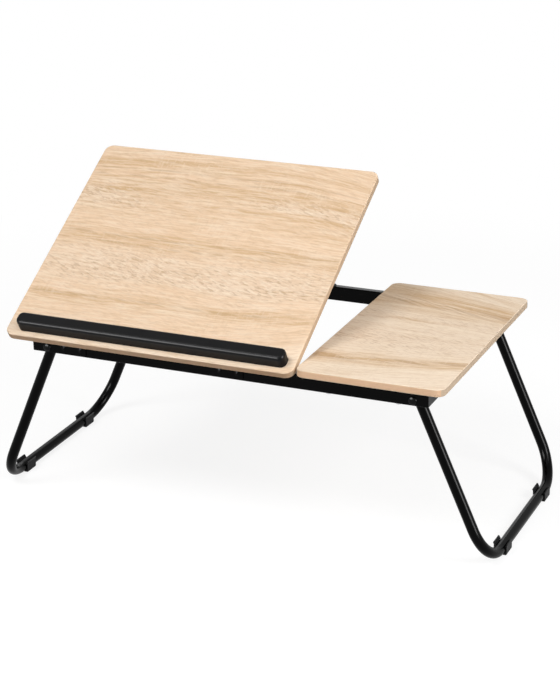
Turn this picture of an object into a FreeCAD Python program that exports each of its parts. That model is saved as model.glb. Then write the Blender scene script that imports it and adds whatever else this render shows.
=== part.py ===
"""Portable reading table: two oak-foil boards on a folding tube frame.

The left board is hinged on the front rail and is held up by a wire bail under
its back. Two U-shaped tube legs swing in under the frame and, opened, lean on
its end bars. Millimetres, +Z up, +Y to the back, the floor at Z = 0 and the
origin below the middle of the frame.
"""
import FreeCAD, Part
import math
import os

Vector = FreeCAD.Vector
X_AXIS = Vector(1, 0, 0)
Y_AXIS = Vector(0, 1, 0)
Z_AXIS = Vector(0, 0, 1)

# Table top
TABLE_LENGTH = 600.0
TABLE_DEPTH = 350.0
TABLE_HEIGHT = 245.0
BOARD_THICK = 10.0
BOARD_CORNER = 12.0
BOARD_EDGE = 1.5
TILT_BOARD_LENGTH = 406.0
BOARD_GAP = 1.0
BOARD_LIFT = 0.4
TILT_ANGLE = 30.0

# Tube frame
RAIL_HEIGHT = 20.0
RAIL_WIDTH = 10.0
RAIL_WALL = 1.2
RAIL_EDGE = 1.5
OVERHANG_LEFT = 34.0
OVERHANG_RIGHT = 22.0
FRAME_INSET_Y = 11.0
STRAP_WIDTH = 20.0
STRAP_THICK = 3.0

# Folding legs
LEG_TUBE = 14.0
LEG_WALL = 1.0
LEG_BEND = 50.0
LEG_SPLAY = 23.5
LEG_END = 7.5
LEG_STOP_GAP = 0.3
LEG_SIDE_GAP = 0.3
PIVOT_DROP = 13.0
RIVET_SHANK = 6.0
RIVET_HEAD = 11.0
RIVET_HEAD_RISE = 2.4
RIVET_TAIL = 9.0
RIVET_TAIL_RISE = 2.0
SPACER_SIZE = 14.0
SPACER_THICK = 1.2
TAIL_WASHER_SIZE = 12.0
TAIL_WASHER_THICK = 1.0

# Clip-on feet
FOOT_LENGTH = 22.0
FOOT_BEND_GAP = 0.5
FOOT_SOLE = 1.5
FOOT_WALL = 1.5
FOOT_RISE = 5.5
FOOT_SOLE_EDGE = 3.0
FOOT_LIP = 2.2
FOOT_FLARE = 1.2
FOOT_BEAD = 0.9
FOOT_BEAD_RISE = 4.0

# Stop bar
STOP_DEPTH = 19.0
STOP_RISE = 17.5
STOP_WALL = 2.5
STOP_SETBACK = 8.0
STOP_INSET_LEFT = 17.5
STOP_INSET_RIGHT = 11.5
STOP_CORNER = 7.5
STOP_EDGE = 4.5
STOP_BOSS = 9.0
STOP_SCREW_INSET = 33.0

# Butt hinges
HINGE_INSET = 92.0
LEAF_LENGTH = 40.0
LEAF_WIDTH = 16.0
LEAF_THICK = 1.2
BARREL_SIZE = 5.0
BARREL_GAP = 0.3
PIN_SIZE = 2.5
PIN_HEAD = 3.6
PIN_HEAD_THICK = 0.8
KNUCKLE_GAP = 0.3
LEAF_SCREW_PITCH = 24.0
LEAF_RIVET_SIZE = 4.0
LEAF_RIVET_HEAD = 7.0
LEAF_RIVET_RISE = 0.8

# Wire bail and its notched racks
WIRE_SIZE = 5.0
BAIL_LENGTH = 140.0
BAIL_HALF_WIDTH = 46.0
BAIL_BEND = 12.0
BAIL_FOOT_BEND = 4.0
BAIL_PIVOT_DROP = 5.5
BAIL_LAG = 2.3
BAIL_TAIL = 4.5
LUG_THICK = 2.5
LUG_WIDTH = 10.0
LUG_GAP = 0.5
PUSH_NUT_SIZE = 10.0
PUSH_NUT_THICK = 1.5
RACK_OFFSET = 24.0
RACK_WIDTH = 14.0
RACK_BASE = 3.0
RACK_FLANGE = 11.0
RACK_HOOK = 5.0
RACK_HOOK_REACH = 2.0
RACK_SEAT_RISE = 2.0
RACK_END_WALL = 4.0
RACK_NOTCHES = 4
RACK_LOWEST = 10.0
ROD_GAP = 0.35

# Screws and rubber buffers
BOARD_SCREW_SHANK = 4.0
BOARD_SCREW_HEAD = 8.0
BOARD_SCREW_RISE = 2.5
BOARD_SCREW_BITE = 7.0
SIDE_SCREW_INSET = 40.0
SMALL_SCREW_SHANK = 3.0
SMALL_SCREW_HEAD = 6.0
SMALL_SCREW_BITE = 6.5
STOP_SCREW_BITE = 10.0
BUFFER_SIZE = 8.0
BUFFER_RISE = 1.4
BUFFER_INSET = 82.0

# Fits: a press fit inside one body, a running fit between two
PRESS_GAP = 0.02
RUN_GAP = 0.05
POCKET_GAP = 0.3

# Frame places
FRAME_TOP = TABLE_HEIGHT - BOARD_THICK
FRAME_BOTTOM = FRAME_TOP - RAIL_HEIGHT
FRAME_X = (TABLE_LENGTH - OVERHANG_LEFT - OVERHANG_RIGHT) / 2
BAR_INNER_X = FRAME_X - RAIL_WIDTH
RAIL_OUTER_Y = TABLE_DEPTH / 2 - FRAME_INSET_Y
RAIL_INNER_Y = RAIL_OUTER_Y - RAIL_WIDTH
RAIL_MID_Y = RAIL_OUTER_Y - RAIL_WIDTH / 2
STRAP_TOP = FRAME_TOP - RAIL_EDGE
STRAP_BOTTOM = STRAP_TOP - STRAP_THICK

# Leg places: opened, the tube lies on the rounded lower edge of the end bar
SPLAY = math.radians(LEG_SPLAY)
TUBE_RADIUS = LEG_TUBE / 2
PIVOT_Z = FRAME_TOP - PIVOT_DROP
EDGE_X = BAR_INNER_X + RAIL_EDGE
EDGE_Z = FRAME_BOTTOM + RAIL_EDGE
STOP_REACH = TUBE_RADIUS + LEG_STOP_GAP + RAIL_EDGE
PIVOT_X = EDGE_X - (STOP_REACH + (PIVOT_Z - EDGE_Z) * math.sin(SPLAY)) / math.cos(SPLAY)
RUN_Z = FOOT_SOLE + TUBE_RADIUS
LEG_LENGTH = (PIVOT_Z - RUN_Z) / math.cos(SPLAY)
RUN_X = PIVOT_X + (PIVOT_Z - RUN_Z) * math.tan(SPLAY)
LEG_Y = RAIL_INNER_Y - SPACER_THICK - LEG_SIDE_GAP - TUBE_RADIUS
TAIL_WASHER_Y = LEG_Y - TUBE_RADIUS - LEG_SIDE_GAP
FOOT_OUTER_Y = LEG_Y - LEG_BEND - FOOT_BEND_GAP

# Board places, both boards flat
BOARD_FRONT = -TABLE_DEPTH / 2
TILT_LEFT = -FRAME_X - OVERHANG_LEFT
TILT_RIGHT = TILT_LEFT + TILT_BOARD_LENGTH
TILT_MID_X = (TILT_LEFT + TILT_RIGHT) / 2
SIDE_LEFT = TILT_RIGHT + BOARD_GAP
SIDE_RIGHT = FRAME_X + OVERHANG_RIGHT
UNDERSIDE = FRAME_TOP + BOARD_LIFT
TILT_TOP = UNDERSIDE + BOARD_THICK
STOP_LEFT = TILT_LEFT + STOP_INSET_LEFT
STOP_RIGHT = TILT_RIGHT - STOP_INSET_RIGHT

# Hinge axis, along X in front of the front rail
BARREL_RADIUS = BARREL_SIZE / 2
HINGE_Y = -RAIL_OUTER_Y - BARREL_GAP - BARREL_RADIUS
HINGE_Z = UNDERSIDE + LEAF_THICK - BARREL_RADIUS
HINGE_AXIS = Vector(0, HINGE_Y, HINGE_Z)
HINGE_XS = (TILT_LEFT + HINGE_INSET, TILT_RIGHT - HINGE_INSET)
KNUCKLE_LENGTH = (LEAF_LENGTH - 2 * KNUCKLE_GAP) / 3
LEAF_CLEAR = BARREL_RADIUS + KNUCKLE_GAP
LEAF_RIVET_Z = HINGE_Z - LEAF_CLEAR - (LEAF_WIDTH - LEAF_CLEAR) / 2
LEAF_SCREW_Y = HINGE_Y + LEAF_CLEAR + (LEAF_WIDTH - LEAF_CLEAR) / 2

# Bail pivot: as far behind the hinge as the bail is long, so that the bail
# turns twice as far as the board and its rod runs straight along the board
WIRE_RADIUS = WIRE_SIZE / 2
BAIL_PIVOT_Z = STRAP_BOTTOM - BAIL_PIVOT_DROP
BAIL_PIVOT_Y = HINGE_Y + math.sqrt(BAIL_LENGTH**2 - (HINGE_Z - BAIL_PIVOT_Z) ** 2)
BAIL_PIVOT = Vector(TILT_MID_X, BAIL_PIVOT_Y, BAIL_PIVOT_Z)
BAIL_DIP = math.degrees(math.atan2(HINGE_Z - BAIL_PIVOT_Z, BAIL_PIVOT_Y - HINGE_Y))
BAIL_ANGLE = 2 * (TILT_ANGLE - BAIL_LAG) + BAIL_DIP
LUG_INNER = BAIL_HALF_WIDTH + BAIL_FOOT_BEND + LUG_GAP
LUG_OUTER = LUG_INNER + LUG_THICK
NUT_INNER = LUG_OUTER + LUG_GAP
WIRE_END = NUT_INNER + BAIL_TAIL
RACK_STEP = (TILT_ANGLE - RACK_LOWEST) / (RACK_NOTCHES - 1)


# Plain shapes

def box(x0, x1, y0, y1, z0, z1):
    """A block between two corners."""
    return Part.makeBox(x1 - x0, y1 - y0, z1 - z0, Vector(x0, y0, z0))


def rod(radius, start, direction, length):
    """A round bar."""
    return Part.makeCylinder(radius, length, start, direction)


def ring(outer, inner, start, direction, length):
    """A washer or a sleeve."""
    return rod(outer, start, direction, length).cut(rod(inner, start, direction, length))


def prism(points, direction):
    """A closed outline pushed along a direction."""
    return Part.Face(Part.makePolygon(points + points[:1])).extrude(direction)


def rounded_plate(x0, x1, y0, y1, z0, z1, corner):
    """A plate with its upright corners rounded."""
    plate = box(x0, x1, y0, y1, z0, z1)
    upright = [e for e in plate.Edges if abs(e.tangentAt(e.FirstParameter).z) > 0.9]
    return plate.makeFillet(corner, upright)


def edges_at(shape, z):
    """The edges that lie wholly at one height."""
    found = []
    for edge in shape.Edges:
        limits = edge.BoundBox
        if abs(limits.ZMin - z) < 1e-4 and abs(limits.ZMax - z) < 1e-4:
            found.append(edge)
    return found


def bent_path(points, bends):
    """Straight runs joined by tangent arcs, with one bend radius for each inner point."""
    edges = []
    start = points[0]
    for before, corner, after, bend in zip(points, points[1:], points[2:], bends):
        back = (before - corner).normalize()
        ahead = (after - corner).normalize()
        half = back.getAngle(ahead) / 2
        leave = corner + back * (bend / math.tan(half))
        rejoin = corner + ahead * (bend / math.tan(half))
        inward = (back + ahead).normalize()
        crown = corner + inward * (bend / math.sin(half) - bend)
        edges.append(Part.LineSegment(start, leave).toShape())
        edges.append(Part.Arc(leave, crown, rejoin).toShape())
        start = rejoin
    edges.append(Part.LineSegment(start, points[-1]).toShape())
    return Part.Wire(edges)


def pipe(path, radius):
    """A round bar along a bent path."""
    first = path.Edges[0]
    start = first.valueAt(first.FirstParameter)
    section = Part.Wire(Part.makeCircle(radius, start, first.tangentAt(first.FirstParameter)))
    return path.makePipeShell([section], True, False)


def revolved(profile, start, direction):
    """A profile of (radius, height) points turned about an axis; its last point lies on the axis."""
    points = [Vector(r, 0, h) for r, h in profile]
    face = Part.Face(Part.makePolygon(points + points[:1]))
    solid = face.revolve(Vector(0, 0, 0), Z_AXIS, 360)
    solid.Placement = FreeCAD.Placement(start, FreeCAD.Rotation(Z_AXIS, direction))
    return solid


def dome(radius, rise, start, direction):
    """A low round cap that stands on a flat face."""
    ball = (radius**2 + rise**2) / (2 * rise)
    sphere = Part.makeSphere(ball, start + direction * (rise - ball), direction)
    return sphere.common(rod(radius, start, direction, rise))


def mirrored_x(shape):
    """The same shape on the other end of the table."""
    return shape.mirror(Vector(0, 0, 0), X_AXIS)


def mirrored_y(shape):
    """The same shape on the other side, front to back."""
    return shape.mirror(Vector(0, 0, 0), Y_AXIS)


def tilted(shape):
    """A piece of the flat board, swung up about the hinge axis."""
    return shape.rotate(HINGE_AXIS, X_AXIS, TILT_ANGLE)


# Boards

def board(x0, x1, underside):
    """A board with rounded corners and softened edges."""
    top = underside + BOARD_THICK
    plate = rounded_plate(x0, x1, BOARD_FRONT, -BOARD_FRONT, underside, top, BOARD_CORNER)
    return plate.makeFillet(BOARD_EDGE, edges_at(plate, underside) + edges_at(plate, top))


def hinge_pocket(x):
    """The recess in the board for one hinge leaf and its barrel."""
    half = LEAF_LENGTH / 2 + POCKET_GAP
    leaf_back = HINGE_Y + LEAF_WIDTH + POCKET_GAP
    leaf = box(x - half, x + half, HINGE_Y, leaf_back, UNDERSIDE, UNDERSIDE + LEAF_THICK)
    pin_half = half + PIN_HEAD_THICK
    side = BARREL_RADIUS + POCKET_GAP
    barrel = box(x - pin_half, x + pin_half, HINGE_Y - side, HINGE_Y + side, UNDERSIDE, HINGE_Z + side)
    return leaf.fuse(barrel)


def stop_screw_places():
    """Where the stop bar is screwed on, on the flat board."""
    first, last = STOP_LEFT + STOP_SCREW_INSET, STOP_RIGHT - STOP_SCREW_INSET
    y = BOARD_FRONT + STOP_SETBACK + STOP_DEPTH / 2
    return [Vector(x, y, UNDERSIDE) for x in (first, (first + last) / 2, last)]


def leaf_screw_places():
    """Where the hinge leaves are screwed to the flat board."""
    steps = (-LEAF_SCREW_PITCH / 2, LEAF_SCREW_PITCH / 2)
    return [Vector(x + step, LEAF_SCREW_Y, UNDERSIDE) for x in HINGE_XS for step in steps]


def rack_screw_places():
    """Where the racks are screwed to the flat board, at the face of each flange."""
    front, back = rack_span()
    ys = (front - RACK_FLANGE / 2, back + RACK_FLANGE / 2)
    return [Vector(x, y, UNDERSIDE - RACK_BASE) for x in rack_middles() for y in ys]


def tilt_board():
    """The tilting board with its hinge recesses and screw holes."""
    plate = board(TILT_LEFT, TILT_RIGHT, UNDERSIDE)
    for x in HINGE_XS:
        plate = plate.cut(hinge_pocket(x))
    for place in stop_screw_places():
        plate = plate.cut(stop_screw(place, BOARD_THICK, PRESS_GAP))
    for place in leaf_screw_places():
        plate = plate.cut(leaf_screw(place, PRESS_GAP))
    for place in rack_screw_places():
        plate = plate.cut(pan_screw(place, RACK_BASE + SMALL_SCREW_BITE, PRESS_GAP))
    return tilted(plate)


def side_board():
    """The fixed board at the right, with its screw holes."""
    plate = board(SIDE_LEFT, SIDE_RIGHT, FRAME_TOP)
    length = RAIL_HEIGHT + BOARD_SCREW_BITE
    for place in side_screw_places():
        plate = plate.cut(rod(BOARD_SCREW_SHANK / 2 + PRESS_GAP, place, Z_AXIS, length))
    return plate


def stop_bar():
    """The moulded bar that keeps a book on the tilted board, hollow below, with screw bosses."""
    x0, x1 = STOP_LEFT, STOP_RIGHT
    y0 = BOARD_FRONT + STOP_SETBACK
    y1 = y0 + STOP_DEPTH
    z1 = TILT_TOP + STOP_RISE
    outer = rounded_plate(x0, x1, y0, y1, TILT_TOP, z1, STOP_CORNER)
    outer = outer.makeFillet(STOP_EDGE, edges_at(outer, z1))
    wall = STOP_WALL
    hollow = rounded_plate(
        x0 + wall, x1 - wall, y0 + wall, y1 - wall, TILT_TOP, z1 - wall, STOP_CORNER - wall
    )
    bar = outer.cut(hollow)
    for place in stop_screw_places():
        foot = Vector(place.x, place.y, TILT_TOP)
        bar = bar.fuse(rod(STOP_BOSS / 2, foot, Z_AXIS, STOP_RISE - wall))
        bar = bar.cut(rod(BOARD_SCREW_SHANK / 2 + PRESS_GAP, foot, Z_AXIS, STOP_SCREW_BITE))
    return tilted(bar.removeSplitter())


# Screws and rivets

def countersunk_screw(place, shank, head, length, gap=0.0):
    """A flat-headed screw pointing up, its head flush with the face at its place."""
    slope = (head - shank) / 2
    profile = [
        (0, 0),
        (head / 2 + gap, 0),
        (shank / 2 + gap, slope),
        (shank / 2 + gap, length),
        (0, length),
    ]
    return revolved(profile, place, Z_AXIS)


def stop_screw(place, length, gap=0.0):
    """One screw of the stop bar, or its hole."""
    return countersunk_screw(place, BOARD_SCREW_SHANK, BOARD_SCREW_HEAD, length, gap)


def leaf_screw(place, gap=0.0):
    """One screw of a hinge's board leaf, or its hole."""
    return countersunk_screw(place, SMALL_SCREW_SHANK, SMALL_SCREW_HEAD, SMALL_SCREW_BITE, gap)


def pan_screw(place, length, gap=0.0):
    """A small round-headed screw pointing up, its head under the face at its place."""
    shank = rod(SMALL_SCREW_SHANK / 2 + gap, place, Z_AXIS, length)
    return shank.fuse(dome(SMALL_SCREW_HEAD / 2, SMALL_SCREW_SHANK / 2, place, Z_AXIS * -1))


def side_screw_places():
    """Where screws go up through the rails into the fixed board, at the foot of each rail."""
    xs = (SIDE_LEFT + SIDE_SCREW_INSET, FRAME_X - SIDE_SCREW_INSET)
    return [Vector(x, y, FRAME_BOTTOM) for x in xs for y in (-RAIL_MID_Y, RAIL_MID_Y)]


def side_board_screws():
    """Four long screws from below, through both walls of the rails."""
    screws = []
    for place in side_screw_places():
        shank = rod(BOARD_SCREW_SHANK / 2, place, Z_AXIS, RAIL_HEIGHT + BOARD_SCREW_BITE)
        screws.append(shank.fuse(dome(BOARD_SCREW_HEAD / 2, BOARD_SCREW_RISE, place, Z_AXIS * -1)))
    return Part.makeCompound(screws)


def stop_bar_screws():
    """Three screws from the board's underside into the stop bar's bosses."""
    length = BOARD_THICK + STOP_SCREW_BITE
    return Part.makeCompound([tilted(stop_screw(place, length)) for place in stop_screw_places()])


def hinge_screws():
    """Four small screws that hold the hinge leaves in the board."""
    return Part.makeCompound([tilted(leaf_screw(place)) for place in leaf_screw_places()])


def rack_screws():
    """Four small screws that hold the racks under the board."""
    length = RACK_BASE + SMALL_SCREW_BITE
    return Part.makeCompound([tilted(pan_screw(place, length)) for place in rack_screw_places()])


def leaf_rivet_places():
    """Where the hinge leaves are riveted to the face of the front rail."""
    steps = (-LEAF_SCREW_PITCH / 2, LEAF_SCREW_PITCH / 2)
    return [Vector(x + step, -RAIL_OUTER_Y, LEAF_RIVET_Z) for x in HINGE_XS for step in steps]


def hinge_rivets():
    """Four flat rivets through the leaves and the rail's front wall."""
    rivets = []
    for place in leaf_rivet_places():
        face = place - Y_AXIS * LEAF_THICK
        inside = place + Y_AXIS * RAIL_WALL
        shank = rod(LEAF_RIVET_SIZE / 2, face, Y_AXIS, LEAF_THICK + RAIL_WALL)
        head = dome(LEAF_RIVET_HEAD / 2, LEAF_RIVET_RISE, face, Y_AXIS * -1)
        tail = dome(LEAF_RIVET_HEAD / 2, LEAF_RIVET_RISE, inside, Y_AXIS)
        rivets.append(shank.fuse(head).fuse(tail))
    return Part.makeCompound(rivets)


def leg_pivot_rivet():
    """The rivet that one leg turns on, at the right end of the rear rail."""
    start = Vector(PIVOT_X, RAIL_OUTER_Y, PIVOT_Z)
    inward = Y_AXIS * -1
    tail_y = TAIL_WASHER_Y - TAIL_WASHER_THICK
    shank = rod(RIVET_SHANK / 2, start, inward, RAIL_OUTER_Y - tail_y)
    head = dome(RIVET_HEAD / 2, RIVET_HEAD_RISE, start, Y_AXIS)
    tail = dome(RIVET_TAIL / 2, RIVET_TAIL_RISE, Vector(PIVOT_X, tail_y, PIVOT_Z), inward)
    return shank.fuse(head).fuse(tail)


def at_four_pivots(shape):
    """One piece repeated at the four leg pivots."""
    pair = [shape, mirrored_y(shape)]
    return Part.makeCompound(pair + [mirrored_x(s) for s in pair])


def leg_spacers():
    """Washers that keep the legs off the rails."""
    start = Vector(PIVOT_X, RAIL_INNER_Y, PIVOT_Z)
    inner = RIVET_SHANK / 2 + PRESS_GAP
    return at_four_pivots(ring(SPACER_SIZE / 2, inner, start, Y_AXIS * -1, SPACER_THICK))


def leg_tail_washers():
    """Washers under the rivets' formed ends."""
    start = Vector(PIVOT_X, TAIL_WASHER_Y, PIVOT_Z)
    inner = RIVET_SHANK / 2 + PRESS_GAP
    return at_four_pivots(ring(TAIL_WASHER_SIZE / 2, inner, start, Y_AXIS * -1, TAIL_WASHER_THICK))


# Tube frame

def mitred_tube(outer, inner, wall_outer, wall_inner):
    """A rectangular tube whose plan is a trapezium, hollow and open at its mitred ends."""
    height = Vector(0, 0, RAIL_HEIGHT)
    tube = prism([Vector(x, y, FRAME_BOTTOM) for x, y in outer + inner], height)
    rims = edges_at(tube, FRAME_BOTTOM) + edges_at(tube, FRAME_TOP)
    long_edges = [e for e in rims if min(abs(c) for c in e.tangentAt(e.FirstParameter)[:2]) < 1e-6]
    tube = tube.makeFillet(RAIL_EDGE, long_edges)
    low = FRAME_BOTTOM + RAIL_WALL
    rise = Vector(0, 0, RAIL_HEIGHT - 2 * RAIL_WALL)
    hollow = prism([Vector(x, y, low) for x, y in wall_outer + wall_inner], rise)
    return tube.cut(hollow)


def rail():
    """The rear rail before it is drilled; the front rail is its mirror image."""
    out_x, in_x = FRAME_X, BAR_INNER_X
    out_y, in_y = RAIL_OUTER_Y, RAIL_INNER_Y
    w = RAIL_WALL
    return mitred_tube(
        [(-out_x, out_y), (out_x, out_y)],
        [(in_x, in_y), (-in_x, in_y)],
        [(-out_x + w, out_y - w), (out_x - w, out_y - w)],
        [(in_x + w, in_y + w), (-in_x - w, in_y + w)],
    )


def end_bar():
    """The right end bar; opened legs lean on its lower inner edge."""
    out_x, in_x = FRAME_X, BAR_INNER_X
    out_y, in_y = RAIL_OUTER_Y, RAIL_INNER_Y
    w = RAIL_WALL
    return mitred_tube(
        [(out_x, -out_y), (out_x, out_y)],
        [(in_x, in_y), (in_x, -in_y)],
        [(out_x - w, -out_y + w), (out_x - w, out_y - w)],
        [(in_x + w, in_y + w), (in_x + w, -in_y - w)],
    )


def drilled(tube):
    """A rail with the holes for the leg rivets and the fixed board's screws."""
    for side in (-1, 1):
        pivot = Vector(side * PIVOT_X, -TABLE_DEPTH, PIVOT_Z)
        tube = tube.cut(rod(RIVET_SHANK / 2 + PRESS_GAP, pivot, Y_AXIS, 2 * TABLE_DEPTH))
    for place in side_screw_places():
        tube = tube.cut(rod(BOARD_SCREW_SHANK / 2 + PRESS_GAP, place, Z_AXIS, RAIL_HEIGHT))
    return tube


def front_rail():
    """The front rail, which also carries the hinges."""
    tube = drilled(mirrored_y(rail()))
    for place in leaf_rivet_places():
        tube = tube.cut(rod(LEAF_RIVET_SIZE / 2 + PRESS_GAP, place, Y_AXIS, RAIL_WALL))
    return tube


def strap_inner(side):
    """The edge of a cross strap that faces the bail."""
    return TILT_MID_X + side * LUG_INNER


def cross_strap(side):
    """A flat strap welded between the rails, high enough for folded legs to pass below."""
    x0, x1 = sorted((strap_inner(side), strap_inner(side) + side * STRAP_WIDTH))
    return box(x0, x1, -RAIL_INNER_Y, RAIL_INNER_Y, STRAP_BOTTOM, STRAP_TOP)


def bail_lug(side):
    """A tab welded under a strap, round at its foot, with the bail's pivot hole."""
    x0 = min(strap_inner(side), strap_inner(side) + side * LUG_THICK)
    half = LUG_WIDTH / 2
    y = BAIL_PIVOT_Y
    tab = box(x0, x0 + LUG_THICK, y - half, y + half, BAIL_PIVOT_Z, STRAP_BOTTOM)
    centre = Vector(x0, y, BAIL_PIVOT_Z)
    foot = box(x0, x0 + LUG_THICK, y - half, y + half, BAIL_PIVOT_Z - half, BAIL_PIVOT_Z)
    tab = tab.fuse(foot.common(rod(half, centre, X_AXIS, LUG_THICK)))
    return tab.cut(rod(WIRE_RADIUS + RUN_GAP, centre, X_AXIS, LUG_THICK)).removeSplitter()


def rest_buffers():
    """Rubber buttons on the rear rail that the lowered board rests on."""
    xs = (TILT_LEFT + BUFFER_INSET, TILT_RIGHT - BUFFER_INSET)
    places = [Vector(x, RAIL_MID_Y, FRAME_TOP) for x in xs]
    return Part.makeCompound([rod(BUFFER_SIZE / 2, p, Z_AXIS, BUFFER_RISE) for p in places])


# Hinges

def knuckles(x, mine):
    """The barrel sections of one leaf: the middle one for the board, the outer two for the rail."""
    pitch = KNUCKLE_LENGTH + KNUCKLE_GAP
    starts = [x - LEAF_LENGTH / 2 + i * pitch for i in mine]
    return [(start, start + KNUCKLE_LENGTH) for start in starts]


def board_leaf(x):
    """The leaf that is let into the board, with the middle knuckle."""
    half = LEAF_LENGTH / 2
    low, high = UNDERSIDE, UNDERSIDE + LEAF_THICK
    leaf = box(x - half, x + half, HINGE_Y + LEAF_CLEAR, HINGE_Y + LEAF_WIDTH, low, high)
    for start, end in knuckles(x, (1,)):
        leaf = leaf.fuse(box(start, end, HINGE_Y, HINGE_Y + LEAF_CLEAR, low, high))
        axis = Vector(start, HINGE_Y, HINGE_Z)
        leaf = leaf.fuse(rod(BARREL_RADIUS, axis, X_AXIS, end - start))
        leaf = leaf.cut(rod(PIN_SIZE / 2 + RUN_GAP, axis, X_AXIS, end - start))
    for place in leaf_screw_places():
        leaf = leaf.cut(leaf_screw(place, PRESS_GAP))
    return tilted(leaf.removeSplitter())


def rail_leaf(x):
    """The leaf on the face of the front rail, with the two outer knuckles."""
    half = LEAF_LENGTH / 2
    front, back = -RAIL_OUTER_Y - LEAF_THICK, -RAIL_OUTER_Y
    low, high = HINGE_Z - LEAF_WIDTH, HINGE_Z - LEAF_CLEAR
    leaf = box(x - half, x + half, front, back, low, high)
    for start, end in knuckles(x, (0, 2)):
        leaf = leaf.fuse(box(start, end, front, back - BARREL_GAP, high, HINGE_Z))
        axis = Vector(start, HINGE_Y, HINGE_Z)
        leaf = leaf.fuse(rod(BARREL_RADIUS, axis, X_AXIS, end - start))
        leaf = leaf.cut(rod(PIN_SIZE / 2 + PRESS_GAP, axis, X_AXIS, end - start))
    for place in leaf_rivet_places():
        leaf = leaf.cut(rod(LEAF_RIVET_SIZE / 2 + PRESS_GAP, place, Y_AXIS * -1, LEAF_THICK))
    return leaf.removeSplitter()


def hinge_pin(x):
    """A pin with a flat head at each end of the barrel."""
    start = Vector(x - LEAF_LENGTH / 2, HINGE_Y, HINGE_Z)
    end = Vector(x + LEAF_LENGTH / 2, HINGE_Y, HINGE_Z)
    pin = rod(PIN_SIZE / 2, start, X_AXIS, LEAF_LENGTH)
    pin = pin.fuse(rod(PIN_HEAD / 2, start, X_AXIS * -1, PIN_HEAD_THICK))
    return pin.fuse(rod(PIN_HEAD / 2, end, X_AXIS, PIN_HEAD_THICK))


# Bail and racks

def rod_reach(tilt):
    """How far the bail's rod lies from the hinge axis when the board stands at a tilt."""
    return 2 * BAIL_LENGTH * math.cos(math.radians(tilt - BAIL_LAG + BAIL_DIP))


def track(reach, rise):
    """A point beside the flat board: so far along the rod's track, so far above it."""
    lag = math.radians(BAIL_LAG)
    along = reach * math.cos(lag) + rise * math.sin(lag)
    drop = reach * math.sin(lag) - rise * math.cos(lag)
    return Vector(0, HINGE_Y + along, HINGE_Z - drop)


def rack_middles():
    """Where the two racks stand along the table."""
    return (TILT_MID_X - RACK_OFFSET, TILT_MID_X + RACK_OFFSET)


def rack_span():
    """The rack's front and back ends without its flanges, front to back."""
    front = track(rod_reach(TILT_ANGLE) - WIRE_RADIUS - ROD_GAP - RACK_HOOK, 0).y
    back = track(rod_reach(RACK_LOWEST) + WIRE_RADIUS + RACK_END_WALL, 0).y
    return front, back


def support_bail():
    """One wire bent into a U, with its feet turned out through the lugs."""
    half, length = BAIL_HALF_WIDTH, BAIL_LENGTH
    places = [(-WIRE_END, 0), (-half, 0), (-half, length), (half, length), (half, 0), (WIRE_END, 0)]
    points = [BAIL_PIVOT + Vector(x, y, 0) for x, y in places]
    bends = [BAIL_FOOT_BEND, BAIL_BEND, BAIL_BEND, BAIL_FOOT_BEND]
    wire = pipe(bent_path(points, bends), WIRE_RADIUS)
    return wire.rotate(BAIL_PIVOT, X_AXIS, BAIL_ANGLE)


def bail_push_nuts():
    """Pressed steel caps that keep the bail's feet in the lugs."""
    nuts = []
    for side in (-1, 1):
        start = BAIL_PIVOT + X_AXIS * (side * NUT_INNER)
        nuts.append(
            ring(PUSH_NUT_SIZE / 2, WIRE_RADIUS + PRESS_GAP, start, X_AXIS * side, PUSH_NUT_THICK)
        )
    return Part.makeCompound(nuts)


def notch_rack(x):
    """A moulded rack under the board: a row of notches and a hook at the steepest one."""
    across = Vector(RACK_WIDTH, 0, 0)
    left = Vector(x - RACK_WIDTH / 2, 0, 0)
    front, back = rack_span()
    tip = WIRE_RADIUS + ROD_GAP
    low_front = track(rod_reach(TILT_ANGLE) - tip - RACK_HOOK, tip)
    low_back = track(rod_reach(RACK_LOWEST) + WIRE_RADIUS + RACK_END_WALL, tip)
    top_front = Vector(0, front, UNDERSIDE)
    top_back = Vector(0, back, UNDERSIDE)
    rack = prism([left + p for p in (top_front, top_back, low_back, low_front)], across)
    steepest = rod_reach(TILT_ANGLE)
    hook_back = steepest - tip
    hook = [
        track(hook_back - RACK_HOOK, tip),
        track(hook_back, tip),
        track(hook_back, -RACK_HOOK_REACH),
        track(hook_back - RACK_HOOK / 2, -RACK_HOOK_REACH),
    ]
    rack = rack.fuse(prism([left + p for p in hook], across))
    for notch in range(RACK_NOTCHES):
        seat = left + track(rod_reach(TILT_ANGLE - notch * RACK_STEP), RACK_SEAT_RISE)
        rack = rack.cut(rod(tip, seat, X_AXIS, RACK_WIDTH))
    x0, x1 = x - RACK_WIDTH / 2, x + RACK_WIDTH / 2
    base = box(x0, x1, front - RACK_FLANGE, back + RACK_FLANGE, UNDERSIDE - RACK_BASE, UNDERSIDE)
    rack = rack.fuse(base)
    for place in rack_screw_places():
        rack = rack.cut(rod(SMALL_SCREW_SHANK / 2 + PRESS_GAP, place, Z_AXIS, RACK_BASE))
    return tilted(rack.removeSplitter())


# Legs and feet

def leg_tube():
    """The right leg: one tube bent into a U, drilled at both ends for its rivets."""
    down = Vector(math.sin(SPLAY), 0, -math.cos(SPLAY))
    pivot = Vector(PIVOT_X, 0, PIVOT_Z)
    end = pivot - down * LEG_END
    corner = pivot + down * LEG_LENGTH
    side = Y_AXIS * LEG_Y
    path = bent_path([end - side, corner - side, corner + side, end + side], [LEG_BEND, LEG_BEND])
    tube = pipe(path, TUBE_RADIUS).cut(pipe(path, TUBE_RADIUS - LEG_WALL))
    start = pivot - Y_AXIS * TABLE_DEPTH
    return tube.cut(rod(RIVET_SHANK / 2 + RUN_GAP, start, Y_AXIS, 2 * TABLE_DEPTH))


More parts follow.
